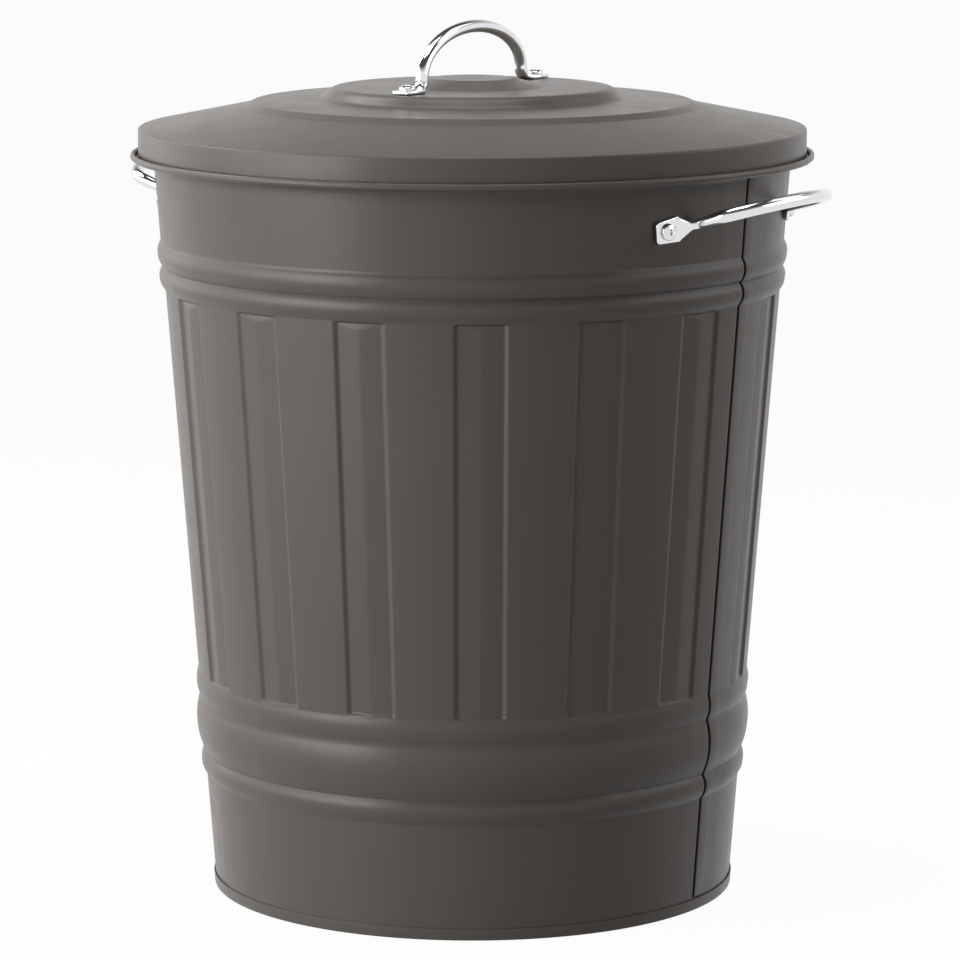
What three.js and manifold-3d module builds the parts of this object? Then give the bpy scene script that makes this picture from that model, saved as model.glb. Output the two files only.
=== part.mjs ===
// A round steel household bin with a lift-off lid.
//
// The wall is one rolled sheet that widens upwards. Two beads run round it under the rim and three
// near the foot, and sixteen pressed ribs stand between them. A lock seam closes the sheet under one
// side handle. The base is a pan folded round the wall's foot. The lid drops inside the rolled rim and
// rests on the ledge under it. Three rod handles with flattened ends are held by screws, washers and nuts.
//
// Millimetres, +Z up. The origin is the middle of the footprint, on the floor. The side handles and
// the seam lie on the X axis, and the lid's handle runs along Y.

import * as THREE from "three";
import { mergeVertices } from "three/addons/utils/BufferGeometryUtils.js";
import Module from "manifold-3d";

const wasm = await Module();
wasm.setup();

// ---------------------------------------------------------------- driving dimensions

const SHEET = 0.6; // thickness of every pressed sheet
const GAP = 0.3; // room between pieces that lie against each other

// Wall: a cone, given by its outer radius at the floor and what it gains per millimetre of height.
const WALL_FOOT_RADIUS = 155.3;
const WALL_TAPER = 0.0765;
const WALL_FOOT_Z = 0.9;
const WALL_TOP_Z = 429.5;

// Beads rolled outwards: where each starts and ends, how far it stands out, and its facets.
const LOWER_BEADS = [
  { low: 68.4, high: 82.8, height: 2.5, facets: 3 },
  { low: 82.8, high: 115.8, height: 3.25, facets: 3 },
  { low: 115.8, high: 130.8, height: 1.4, facets: 2 },
];
const UPPER_BEADS = [
  { low: 361.1, high: 374.6, height: 2.55, facets: 3 },
  { low: 374.6, high: 389.2, height: 2.5, facets: 3 },
];
const BEAD_ROUNDNESS = 2.12; // exponent of the bead's arc

// Ribs: shallow panels pressed inwards, each with a raised ridge down its middle.
const RIBS_PER_HALF = 8;
const RIB_PITCH = THREE.MathUtils.degToRad(22.06);
const RIB_HALF_WIDTH = 15.8;
const RIB_FLOOR_HALF_WIDTH = 12.7;
const RIB_DEPTH = 1.5;
const RIDGE_DEPTH = 0.7;
const RIB_END_SLOPE = 1.1; // height of the sloped wall at the rib's two ends
const HIP_LENGTH = 3.6; // from the top end to where the ridge has its full height

// Lock seam: a groove, then a strip that stands a little proud. Widths run round the wall from its middle.
const SEAM_START_Z = 7.7;
const SEAM_PROFILE = [
  { offset: -6.6, rise: 0, back: 0 },
  { offset: -6.0, rise: -1.0, back: 1.8 },
  { offset: -5.0, rise: -1.0, back: 1.8 },
  { offset: -4.8, rise: 0.35, back: 1.8 },
  { offset: 5.2, rise: 0.35, back: 1.8 },
  { offset: 5.6, rise: 0, back: 0 },
];

// Rim: the wall turns out into a ledge, and its edge is rolled into a bead that stands above it.
const LEDGE_Z = 438.0; // top of the ledge, where the lid rests
const LEDGE_UNDERSIDE_Z = 437.4;
const RIM_BEAD = { radius: 201.0, z: 439.4, halfWidth: 1.5, halfHeight: 1.95 };

// Base pan
const BASE_TOP_Z = 7.4;
const HOOP_TOP_Z = 6.8;
const BASE_SEGMENTS = 64;

// Lid: its upper surface from the middle outwards, as radius and height.
const LID_BOSS = { radius: 24.2, z: 484.5 };
const LID_PLATEAU_Z = 479.5;
const LID_SKIRT_RADIUS = 197.8;
const LID_TOP_PROFILE = [
  [0, LID_BOSS.z],
  [LID_BOSS.radius, LID_BOSS.z],
  [43.8, LID_PLATEAU_Z],
  [79.9, LID_PLATEAU_Z],
  [84.3, 478.1],
  [87.9, 474.3],
  [91.4, 472.9],
  [129.0, 471.1],
  [136.1, 468.1],
  [196.3, 455.9],
  [197.3, 455.4],
  [LID_SKIRT_RADIUS, 454.3],
];
const LID_HEM_HEIGHT = 5.0;
const HEM_ROUND = 0.4; // radius of the hem's fold
const LID_SEGMENTS = 64;

// Handles: a round rod bent into half an ellipse on two straight legs, with flattened, drilled ends.
const ROD_RADIUS = 3.8;
const TAB = { reach: 7.9, root: 7.8, endHalfWidth: 6.15, rootHalfWidth: 7.4, thickness: 2.2 };
const SIDE_HANDLE = {
  plane: { x: 176.8, z: 411.1, tilt: THREE.MathUtils.degToRad(16.9) },
  halfSpan: 54.6,
  leg: 20.7,
  crown: 28.4,
  legStart: 8,
  neck: { halfWidth: 2.5, halfThickness: 2.5 },
  bend: { atTab: 0.3, atLeg: 0.1 },
  footAzimuth: THREE.MathUtils.degToRad(22.8),
  footZ: 410.0,
  footTilt: THREE.MathUtils.degToRad(7.5),
};
const LID_HANDLE = {
  halfSpan: 55.9,
  leg: 8.0,
  crown: 27.4,
  legStart: 6.4,
  neck: { halfWidth: 3.75, halfThickness: 3.6 },
  bend: { atTab: 0.45, atLeg: 0.3 },
  screwOffset: 72.0,
};

// Fasteners
const SCREW = { shank: 2.5, length: 12, headRadius: 4.9, headHeight: 2.6 };
const CROSS_SLOT = { length: 5.2, width: 1.0, depth: 1.3 };
const HOLE_RADIUS = SCREW.shank + GAP;
const DRILL_LENGTH = 8; // reaches well past both faces of a sheet or a flattened end
const WASHER = { radius: 6, thickness: 1 };
const NUT = { acrossFlats: 8, height: 4 };
const WASHER_SEAT = 0.5; // a flat washer stands this far off the curved inside of the wall

// ---------------------------------------------------------------- materials

const finish = (name, color, roughness, metalness) =>
  new THREE.MeshStandardMaterial({ name, color, roughness, metalness, flatShading: true });

const paint = () => finish("grey_powder_coat", 0x5e5852, 0.45, 0.0);
const chrome = () => finish("bright_plated_steel", 0xd8dadc, 0.12, 1.0);
const zinc = () => finish("zinc_plated_steel", 0xa9acae, 0.35, 1.0);

// ---------------------------------------------------------------- solids

/** Leaves only merged positions, turned so that the faces point out. */
function asSolid(geometry) {
  geometry.deleteAttribute("normal");
  geometry.deleteAttribute("uv");
  const merged = mergeVertices(geometry, 1e-4);
  if (signedVolume(merged) < 0) merged.setIndex(Array.from(merged.index.array).reverse());
  return merged;
}

function signedVolume(geometry) {
  const corner = [new THREE.Vector3(), new THREE.Vector3(), new THREE.Vector3()];
  const { position } = geometry.attributes;
  let six = 0;
  for (let i = 0; i < geometry.index.count; i += 3) {
    corner.forEach((v, k) => v.fromBufferAttribute(position, geometry.index.getX(i + k)));
    six += corner[0].dot(corner[1].clone().cross(corner[2]));
  }
  return six / 6;
}

function toManifold(geometry) {
  const solid = asSolid(geometry);
  return new wasm.Manifold(
    new wasm.Mesh({
      numProp: 3,
      vertProperties: new Float32Array(solid.attributes.position.array),
      triVerts: new Uint32Array(solid.index.array),
    }),
  );
}

function fromManifold(manifold) {
  const mesh = manifold.getMesh();
  const geometry = new THREE.BufferGeometry();
  geometry.setAttribute("position", new THREE.BufferAttribute(new Float32Array(mesh.vertProperties), 3));
  geometry.setIndex(Array.from(mesh.triVerts));
  return geometry;
}

/** The first geometry with the others cut out of it. */
function cut(geometry, cutters) {
  const solid = cutters.reduce((rest, cutter) => rest.subtract(toManifold(cutter)), toManifold(geometry));
  return fromManifold(solid);
}

/** Joins rings of points, each with as many points as the next, into one skin. */
function skin(rings, { closed }) {
  const count = rings[0].length;
  const positions = rings.flat().flatMap((p) => [p.x, p.y, p.z]);
  const index = [];
  const last = closed ? rings.length : rings.length - 1;
  for (let i = 0; i < last; i += 1) {
    const below = i * count;
    const above = ((i + 1) % rings.length) * count;
    for (let j = 0; j < count; j += 1) {
      const k = (j + 1) % count;
      index.push(below + j, below + k, above + k, below + j, above + k, above + j);
    }
  }
  if (!closed) {
    const end = (rings.length - 1) * count;
    for (let j = 1; j < count - 1; j += 1) {
      index.push(0, j + 1, j, end, end + j, end + j + 1);
    }
  }
  const geometry = new THREE.BufferGeometry();
  geometry.setAttribute("position", new THREE.Float32BufferAttribute(positions, 3));
  geometry.setIndex(index);
  return asSolid(geometry);
}

/** Turns a profile of [radius, height] round the Z axis. */
function turned(profile, segments) {
  const points = profile.map(([r, z]) => new THREE.Vector2(r, z));
  return asSolid(new THREE.LatheGeometry(points, segments).rotateX(Math.PI / 2));
}

// ---------------------------------------------------------------- wall

const wallRadius = (z) => WALL_FOOT_RADIUS + WALL_TAPER * z;
const wallLean = Math.atan(WALL_TAPER);

const outwardNormal = (azimuth) =>
  new THREE.Vector3(
    Math.cos(azimuth) * Math.cos(wallLean),
    Math.sin(azimuth) * Math.cos(wallLean),
    -Math.sin(wallLean),
  );

const wallPoint = (azimuth, z) =>
  new THREE.Vector3(Math.cos(azimuth) * wallRadius(z), Math.sin(azimuth) * wallRadius(z), z);

/** Rows of one bead between its two creases, which are left to its neighbours. */
function beadRows({ low, high, height }, facets) {
  const rows = [];
  for (let i = 1; i < facets; i += 1) {
    const along = (2 * i) / facets - 1;
    const bump = height * (1 - Math.abs(along) ** BEAD_ROUNDNESS);
    rows.push({ z: low + ((high - low) * i) / facets, bump, rib: "none" });
  }
  return rows;
}

const plainRow = (z) => ({ z, bump: 0, rib: "none" });
const flatRow = (z) => ({ ...plainRow(z), seamless: true });

/** Rows of the wall from its foot to the start of the rim's flare. */
function wallRows(facetsOf) {
  const ribFoot = LOWER_BEADS.at(-1).high;
  const ribHead = UPPER_BEADS[0].low;
  const rows = [flatRow(WALL_FOOT_Z), flatRow(SEAM_START_Z), plainRow(SEAM_START_Z + 0.6)];
  rows.push(plainRow(LOWER_BEADS[0].low));
  for (const bead of LOWER_BEADS) rows.push(...beadRows(bead, facetsOf(bead)), plainRow(bead.high));
  rows.push({ z: ribFoot + RIB_END_SLOPE, bump: 0, rib: "ridged" });
  rows.push({ z: ribHead - HIP_LENGTH, bump: 0, rib: "ridged" });
  rows.push({ z: ribHead - RIB_END_SLOPE, bump: 0, rib: "flat" });
  rows.push(plainRow(ribHead));
  for (const bead of UPPER_BEADS) rows.push(...beadRows(bead, facetsOf(bead)), plainRow(bead.high));
  rows.push(plainRow(WALL_TOP_Z));
  return rows;
}

/** Upright lines of the wall: an azimuth, an offset along the wall, and how deep the line is pressed. */
function wallColumns() {
  const columns = SEAM_PROFILE.map(({ offset, rise, back }) => ({ azimuth: 0, offset, rise, back }));
  const addPlain = (azimuth) => columns.push({ azimuth, offset: 0 });
  for (const middle of [Math.PI / 2, (3 * Math.PI) / 2]) {
    for (let i = 0; i < RIBS_PER_HALF; i += 1) {
      const azimuth = middle + (i - (RIBS_PER_HALF - 1) / 2) * RIB_PITCH;
      if (i > 0) addPlain(azimuth - RIB_PITCH / 2);
      columns.push({ azimuth, offset: -RIB_HALF_WIDTH });
      columns.push({ azimuth, offset: -RIB_FLOOR_HALF_WIDTH, depth: RIB_DEPTH });
      columns.push({ azimuth, offset: 0, depth: RIB_DEPTH, ridge: RIDGE_DEPTH });
      columns.push({ azimuth, offset: RIB_FLOOR_HALF_WIDTH, depth: RIB_DEPTH });
      columns.push({ azimuth, offset: RIB_HALF_WIDTH });
    }
    if (middle < Math.PI) addPlain(Math.PI);
  }
  return columns;
}

function pressedDepth(row, column) {
  if (row.rib === "none") return 0;
  if (row.rib === "ridged" && column.ridge !== undefined) return column.ridge;
  return column.depth ?? 0;
}

function ringPoint(column, radius, z) {
  const azimuth = column.azimuth + column.offset / radius;
  return new THREE.Vector3(radius * Math.cos(azimuth), radius * Math.sin(azimuth), z);
}

const seamRise = (row, column) => (row.seamless ? 0 : (column.rise ?? 0));
const seamBack = (row, column) => (row.seamless ? 0 : (column.back ?? 0));

/** Outer rows, rim and inner rows joined into one closed sheet. */
function wallGeometry() {
  const columns = wallColumns();
  const middleRadius = (row, column) => wallRadius(row.z) + row.bump - pressedDepth(row, column);
  const outside = wallRows((bead) => bead.facets).map((row) =>
    columns.map((column) => ringPoint(column, middleRadius(row, column) + seamRise(row, column), row.z)),
  );
  const inside = wallRows((bead) => Math.min(bead.facets, 2)).map((row) =>
    columns.map((column) => {
      const radius = middleRadius(row, column) - SHEET - seamBack(row, column);
      return ringPoint(column, radius, row.z);
    }),
  );
  const rim = rimProfile().map(([radius, z]) => columns.map((column) => ringPoint(column, radius, z)));
  return skin([...outside, ...rim, ...inside.reverse()], { closed: true });
}

/** From under the ledge, round the rolled bead and back over the ledge. */
function rimProfile() {
  const flare = [
    [190.0, 434.6],
    [193.4, LEDGE_UNDERSIDE_Z - 0.5],
  ];
  const bead = [-100, -35, 30, 95, 160].map((degrees) => {
    const turn = THREE.MathUtils.degToRad(degrees);
    const { radius, z, halfWidth, halfHeight } = RIM_BEAD;
    return [radius + halfWidth * Math.cos(turn), z + halfHeight * Math.sin(turn)];
  });
  const ledge = [
    [199.2, LEDGE_Z],
    [192.8, LEDGE_Z - 0.5],
    [189.3, 434.9],
  ];
  return [...flare, ...bead, ...ledge];
}

// ---------------------------------------------------------------- base

/** A pan whose edge turns down inside the wall, under its foot and up outside it. */
function baseGeometry() {
  const insideWall = wallRadius(WALL_FOOT_Z) - SHEET - GAP;
  const hoop = wallRadius(WALL_FOOT_Z) + GAP;
  const hoopTop = wallRadius(HOOP_TOP_Z) + GAP;
  return turned(
    [
      [0, BASE_TOP_Z],
      [insideWall - 1.1, BASE_TOP_Z],
      [insideWall, BASE_TOP_Z - 1.0],
      [insideWall, SHEET],
      [hoop, SHEET],
      [hoopTop, HOOP_TOP_Z],
      [hoopTop + SHEET * 0.8, HOOP_TOP_Z - 0.1],
      [hoopTop + SHEET, HOOP_TOP_Z - 0.6],
      [hoop + SHEET, 0.5],
      [hoop + SHEET - 0.4, 0],
      [insideWall - SHEET + 0.4, 0],
      [insideWall - SHEET, 0.4],
      [insideWall - SHEET, BASE_TOP_Z - SHEET - 0.6],
      [insideWall - SHEET - 0.6, BASE_TOP_Z - SHEET],
      [0, BASE_TOP_Z - SHEET],
    ],
    BASE_SEGMENTS,
  );
}

// ---------------------------------------------------------------- lid

/** A profile's points moved inwards by a distance, square to the profile. The first stays on the axis. */
function inset(profile, distance) {
  const points = profile.map(([r, z]) => new THREE.Vector2(r, z));
  return points.map((point, i) => {
    const before = points[Math.max(i - 1, 0)];
    const after = points[Math.min(i + 1, points.length - 1)];
    const run = after.clone().sub(before).normalize();
    return [i === 0 ? 0 : point.x + run.y * distance, point.y - run.x * distance];
  });
}

/** The pressed lid, its skirt and the hem folded inside the skirt's foot. */
function lidGeometry() {
  const foot = LEDGE_Z + GAP;
  const hemTop = foot + LID_HEM_HEIGHT;
  const outer = LID_SKIRT_RADIUS;
  const inner = LID_SKIRT_RADIUS - 2 * SHEET;
  const skirt = [
    [outer, foot + HEM_ROUND],
    [outer - HEM_ROUND, foot],
    [inner + HEM_ROUND, foot],
    [inner, foot + HEM_ROUND],
    [inner, hemTop],
    [inner + SHEET, hemTop + 0.2],
  ];
  const underside = inset(LID_TOP_PROFILE, SHEET).reverse();
  return turned([...LID_TOP_PROFILE, ...skirt, ...underside], LID_SEGMENTS);
}

// ---------------------------------------------------------------- handles

const SECTION_POINTS = 10;
const BEND_STEPS = 5; // sections between a flattened end and the leg
const CROWN_STEPS = 9; // sections over half the crown
const NECK_TAPER = 1.6; // how much sooner than the bend ends the neck has its full width

// Squareness of a section: 2 is round and a high number is almost a rectangle.
const ROUND = 2;
const NECK_SQUARENESS = 2.4;
const SQUARE = 7;

/** A rounded section across a handle. */
function section(centre, across, through, halfAcross, halfThrough, squareness) {
  const ring = [];
  for (let i = 0; i < SECTION_POINTS; i += 1) {
    const turn = ((i + 0.5) / SECTION_POINTS) * 2 * Math.PI;
    const power = 2 / squareness;
    const a = Math.sign(Math.cos(turn)) * Math.abs(Math.cos(turn)) ** power * halfAcross;
    const t = Math.sign(Math.sin(turn)) * Math.abs(Math.sin(turn)) ** power * halfThrough;
    ring.push(centre.clone().addScaledVector(across, a).addScaledVector(through, t));
  }
  return ring;
}

/**
 * Stations of half a handle, from the flattened end to the crown. The frame gives the middle of the
 * feet, the direction the legs stand up and the direction from the middle to this foot. The foot gives
 * the screw's place in the flattened end, its outward normal and the direction in which it runs out.
 */
function halfHandleStations(sizes, frame, foot) {
  const at = (along, up) =>
    frame.origin.clone().addScaledVector(frame.along, along).addScaledVector(frame.up, up);
  const sideways = new THREE.Vector3().crossVectors(frame.along, frame.up).normalize();
  const footSideways = new THREE.Vector3().crossVectors(foot.outwards, foot.normal).normalize();
  const end = foot.centre.clone().addScaledVector(foot.outwards, TAB.reach);
  const root = foot.centre.clone().addScaledVector(foot.outwards, -TAB.root);
  const legStart = at(sizes.halfSpan, sizes.legStart);
  const flattened = { halfThrough: TAB.thickness / 2, squareness: SQUARE, blend: 0 };
  const stations = [
    { point: end, halfAcross: TAB.endHalfWidth, ...flattened },
    { point: root, halfAcross: TAB.rootHalfWidth, ...flattened },
  ];
  const bend = new THREE.CubicBezierCurve3(
    root,
    root.clone().addScaledVector(foot.outwards, -root.distanceTo(legStart) * sizes.bend.atTab),
    legStart.clone().addScaledVector(frame.up, -root.distanceTo(legStart) * sizes.bend.atLeg),
    legStart,
  );
  for (let i = 1; i <= BEND_STEPS; i += 1) {
    const t = i / BEND_STEPS;
    const narrowed = Math.min(1, t * NECK_TAPER);
    stations.push({
      point: bend.getPoint(t),
      halfAcross: THREE.MathUtils.lerp(TAB.rootHalfWidth, sizes.neck.halfWidth, narrowed),
      halfThrough: THREE.MathUtils.lerp(TAB.thickness / 2, sizes.neck.halfThickness, t),
      squareness: THREE.MathUtils.lerp(SQUARE, NECK_SQUARENESS, narrowed),
      blend: t,
    });
  }
  const rod = { halfAcross: ROD_RADIUS, halfThrough: ROD_RADIUS, squareness: ROUND, blend: 1 };
  for (let i = 0; i <= CROWN_STEPS; i += 1) {
    const turn = (i / CROWN_STEPS) * (Math.PI / 2);
    const point = at(sizes.halfSpan * Math.cos(turn), sizes.leg + sizes.crown * Math.sin(turn));
    stations.push({ point, ...rod });
  }
  return stations.map((station) => ({ ...station, sideways, footSideways }));
}

/** Lofts a handle through both halves and drills its two ends. */
function handleGeometry(sizes, frames, feet) {
  const [first, second] = feet.map((foot, i) => halfHandleStations(sizes, frames[i], foot));
  // The second half runs the other way, so its sideways directions are turned to match the first's.
  const back = second
    .slice(0, -1)
    .reverse()
    .map((station) => {
      const sideways = station.sideways.clone().negate();
      const footSideways = station.footSideways.clone().negate();
      return { ...station, sideways, footSideways };
    });
  const stations = [...first, ...back];
  const rings = stations.map((station, i) => {
    const before = stations[Math.max(i - 1, 0)].point;
    const after = stations[Math.min(i + 1, stations.length - 1)].point;
    const tangent = after.clone().sub(before).normalize();
    const across = station.footSideways.clone().lerp(station.sideways, station.blend);
    across.addScaledVector(tangent, -across.dot(tangent)).normalize();
    const through = new THREE.Vector3().crossVectors(tangent, across).normalize();
    const { point, halfAcross, halfThrough, squareness } = station;
    return section(point, across, through, halfAcross, halfThrough, squareness);
  });
  const holes = feet.map((foot) => drill(foot.centre, foot.normal));
  return cut(skin(rings, { closed: false }), holes);
}

/** A round cutter of the screw holes' size, centred on a point and run along a direction. */
function drill(centre, direction) {
  const turn = new THREE.Quaternion().setFromUnitVectors(new THREE.Vector3(0, 1, 0), direction);
  return new THREE.CylinderGeometry(HOLE_RADIUS, HOLE_RADIUS, DRILL_LENGTH, 12)
    .applyQuaternion(turn)
    .translate(centre.x, centre.y, centre.z);
}

/** How far the middle of a flattened end stands off the sheet under it. */
const TAB_MIDDLE = GAP + TAB.thickness / 2;

/** The two feet of the handle on the +X side. */
function sideHandleFeet() {
  return [1, -1].map((side) => {
    const azimuth = side * SIDE_HANDLE.footAzimuth;
    const normal = outwardNormal(azimuth);
    const level = new THREE.Vector3(-Math.sin(azimuth), Math.cos(azimuth), 0).multiplyScalar(side);
    const up = new THREE.Vector3().crossVectors(normal, level).multiplyScalar(side).normalize();
    const outwards = level
      .multiplyScalar(Math.cos(SIDE_HANDLE.footTilt))
      .addScaledVector(up, -Math.sin(SIDE_HANDLE.footTilt))
      .normalize();
    const seat = wallPoint(azimuth, SIDE_HANDLE.footZ);
    return { seat, centre: seat.clone().addScaledVector(normal, TAB_MIDDLE), normal, outwards };
  });
}

function sideHandleGeometry() {
  const { x, z, tilt } = SIDE_HANDLE.plane;
  const frames = [1, -1].map((side) => ({
    origin: new THREE.Vector3(x, 0, z),
    up: new THREE.Vector3(Math.cos(tilt), 0, Math.sin(tilt)),
    along: new THREE.Vector3(0, side, 0),
  }));
  return handleGeometry(SIDE_HANDLE, frames, sideHandleFeet());
}

function lidHandleFeet() {
  return [1, -1].map((side) => {
    const seat = new THREE.Vector3(0, side * LID_HANDLE.screwOffset, LID_PLATEAU_Z);
    const normal = new THREE.Vector3(0, 0, 1);
    const centre = seat.clone().addScaledVector(normal, TAB_MIDDLE);
    return { seat, centre, normal, outwards: new THREE.Vector3(0, side, 0) };
  });
}

function lidHandleGeometry() {
  const frames = [1, -1].map((side) => ({
    origin: new THREE.Vector3(0, 0, LID_PLATEAU_Z),
    up: new THREE.Vector3(0, 0, 1),
    along: new THREE.Vector3(0, side, 0),
  }));
  return handleGeometry(LID_HANDLE, frames, lidHandleFeet());
}

// ---------------------------------------------------------------- fasteners

/** A pan-head screw with a cross recess. Its head's underside is at height 0. */
function screwGeometry() {
  const { shank, length, headRadius, headHeight } = SCREW;
  const body = turned(
    [
      [0, -length],
      [shank, -length],
      [shank, 0],
      [headRadius, 0],
      [headRadius, 0.6],
      [headRadius * 0.72, headHeight * 0.82],
      [0, headHeight],
    ],
    12,
  );
  const { length: slot, width, depth } = CROSS_SLOT;
  const slots = [0, Math.PI / 2].map((turn) =>
    new THREE.BoxGeometry(slot, width, 2 * depth).rotateZ(turn).translate(0, 0, headHeight),
  );
  return cut(body, slots);
}

/** A flat ring or plate with a round hole, between height -thickness and 0. */
function drilledPlate(outline, thickness) {
  const hole = new THREE.Path();
  hole.absarc(0, 0, HOLE_RADIUS, 0, 2 * Math.PI, true);
  outline.holes.push(hole);
  const options = { depth: thickness, bevelEnabled: false, curveSegments: 6 };
  const plate = new THREE.ExtrudeGeometry(outline, options);
  return asSolid(plate.translate(0, 0, -thickness));
}

function washerGeometry() {
  const outline = new THREE.Shape();
  outline.absarc(0, 0, WASHER.radius, 0, 2 * Math.PI, false);
  return drilledPlate(outline, WASHER.thickness);
}

function nutGeometry() {
  const corner = NUT.acrossFlats / 2 / Math.cos(Math.PI / 6);
  const corners = [0, 1, 2, 3, 4, 5].map((i) => {
    const turn = (i * Math.PI) / 3;
    return new THREE.Vector2(corner * Math.cos(turn), corner * Math.sin(turn));
  });
  return drilledPlate(new THREE.Shape(corners), NUT.height);
}

// ---------------------------------------------------------------- assembly

function piece(name, geometry, material) {
  const mesh = new THREE.Mesh(geometry, material);
  mesh.name = name;
  return mesh;
}

/** A screw over a foot, and the washer and nut behind the sheet, stacked along the foot's normal. */
function fastenerStack(label, foot, washerSeat) {
  const stack = new THREE.Group();
  stack.position.copy(foot.seat);
  stack.quaternion.setFromUnitVectors(new THREE.Vector3(0, 0, 1), foot.normal);
  const screw = piece(`${label}_screw`, screwGeometry(), chrome());
  screw.position.z = GAP + TAB.thickness + GAP;
  const washer = piece(`${label}_washer`, washerGeometry(), zinc());
  washer.position.z = -SHEET - washerSeat;
  const nut = piece(`${label}_nut`, nutGeometry(), zinc());
  nut.position.z = washer.position.z - WASHER.thickness - GAP;
  stack.add(screw, washer, nut);
  return stack;
}

/** One side handle with its fasteners, on the +X side. */
function sideHandle(side, footLabels) {
  const set = new THREE.Group();
  set.add(piece(`${side}_handle`, sideHandleGeometry(), chrome()));
  sideHandleFeet().forEach((foot, i) => {
    set.add(fastenerStack(`${side}_handle_${footLabels[i]}`, foot, WASHER_SEAT));
  });
  return set;
}

function bin() {
  const set = new THREE.Group();
  const holes = sideHandleFeet().map((foot) => drill(foot.seat, foot.normal));
  const otherHoles = holes.map((hole) => hole.clone().rotateZ(Math.PI));
  set.add(piece("wall", cut(wallGeometry(), [...holes, ...otherHoles]), paint()));
  set.add(piece("base", baseGeometry(), paint()));
  set.add(sideHandle("right", ["rear", "front"]));
  const left = sideHandle("left", ["front", "rear"]);
  left.rotation.z = Math.PI;
  set.add(left);
  return set;
}

function lid() {
  const set = new THREE.Group();
  const feet = lidHandleFeet();
  const holes = feet.map((foot) => drill(foot.seat, foot.normal));
  set.add(piece("lid", cut(lidGeometry(), holes), paint()));
  set.add(piece("lid_handle", lidHandleGeometry(), chrome()));
  ["rear", "front"].forEach((label, i) => set.add(fastenerStack(`lid_handle_${label}`, feet[i], GAP)));
  return set;
}

const group = new THREE.Group();
group.add(bin(), lid());

export default group;
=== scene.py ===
"""Looks of a round ribbed steel bin with a lift-off lid.

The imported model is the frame: a bin that stands on its base hoop, and a lid that lifts off along Z.
Every piece of it is modelled again here with its rounds, presses, curls and recesses, and stands for
the CAD node that it is named after. Lengths are metres, +Z is up, and the origin is the middle of the
footprint. The side handles and the seam lie on the X axis, and the lid's handle runs along Y.
"""

import logging
import math
from collections.abc import Iterable, Sequence
from dataclasses import dataclass, replace
from enum import Enum

import bmesh
import bpy
from mathutils import Matrix, Vector
from mathutils.geometry import interpolate_bezier


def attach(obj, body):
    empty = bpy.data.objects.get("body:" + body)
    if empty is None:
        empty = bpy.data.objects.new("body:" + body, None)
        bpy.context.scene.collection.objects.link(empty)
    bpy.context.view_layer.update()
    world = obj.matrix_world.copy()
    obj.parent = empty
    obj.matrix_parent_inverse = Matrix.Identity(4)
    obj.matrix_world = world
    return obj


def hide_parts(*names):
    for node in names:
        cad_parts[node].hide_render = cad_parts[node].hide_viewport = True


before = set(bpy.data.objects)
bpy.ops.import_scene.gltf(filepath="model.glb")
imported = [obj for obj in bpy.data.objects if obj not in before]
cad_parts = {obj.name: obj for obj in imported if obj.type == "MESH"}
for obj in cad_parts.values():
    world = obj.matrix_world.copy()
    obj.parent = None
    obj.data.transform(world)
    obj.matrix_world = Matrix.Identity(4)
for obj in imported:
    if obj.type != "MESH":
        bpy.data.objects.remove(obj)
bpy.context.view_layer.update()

log = logging.getLogger("bin")

TURN = 2.0 * math.pi
MILLIMETRE = 0.001
WHITE = (1.0, 1.0, 1.0, 1.0)
SAME_PLACE = 1e-6  # two vertices nearer than this are one
HANDLE_DRILL = 0.012  # length of the cutter for the holes of handles and nuts
SHEET_DRILL = 0.008  # and of the one for holes in sheet

Colour = tuple[float, float, float]
Point2 = tuple[float, float]  # radius and height
Corner = tuple[float, float, float]  # radius, height and rounding radius
Grain = tuple[float, float]  # a noise's repeats per metre and its octaves of finer noise
Socket = bpy.types.NodeSocket
Input = Socket | float | tuple[float, ...]


# ---------------------------------------------------------------- finishes


class Body(Enum):
    """The two bodies of the frame."""

    BIN = "bin"
    LID = "lid"


class Slot(Enum):
    """The record's material slots."""

    PAINTED_SHEET = "painted_sheet"
    PLATED_ROD = "plated_rod"
    PLATED_SCREW = "plated_screw"
    ZINC_HARDWARE = "zinc_hardware"


class Graph:
    """The node tree of a material or a world."""

    def __init__(self, owner: bpy.types.Material | bpy.types.World) -> None:
        """Turns the owner's nodes on.

        Args:
            owner: The material or world.
        """
        owner.use_nodes = True
        self.owner = owner
        self.nodes = owner.node_tree.nodes
        self.links = owner.node_tree.links

    def add(self, kind: str, output: str | int, inputs: dict[str | int, Input], **settings: str) -> Socket:
        """Adds a node.

        Args:
            kind: Its type, without the leading "ShaderNode".
            output: Which of its outputs is wanted.
            inputs: What each input gets, which is a value or another node's output.
            settings: The node's own settings.

        Returns:
            The wanted output.
        """
        node = self.nodes.new(f"ShaderNode{kind}")
        for name, setting in settings.items():
            setattr(node, name, setting)
        for name, given in inputs.items():
            if isinstance(given, bpy.types.NodeSocket):
                self.links.new(given, node.inputs[name])
            else:
                node.inputs[name].default_value = given
        return node.outputs[output]

    def end(self, kind: str, surface: Socket) -> None:
        """Ends the tree in an output node of a kind, which shows the surface."""
        self.links.new(surface, self.nodes.new(f"ShaderNodeOutput{kind}").inputs["Surface"])

    def seen_directly(self) -> Socket:
        """A factor that is 1 for rays from the camera and for reflected and refracted ones."""
        path = self.nodes.new("ShaderNodeLightPath").outputs
        total = path["Is Camera Ray"]
        for name in ("Is Glossy Ray", "Is Transmission Ray"):
            total = self.add("Math", "Value", {0: total, 1: path[name]}, operation="MAXIMUM")
        return total


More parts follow.
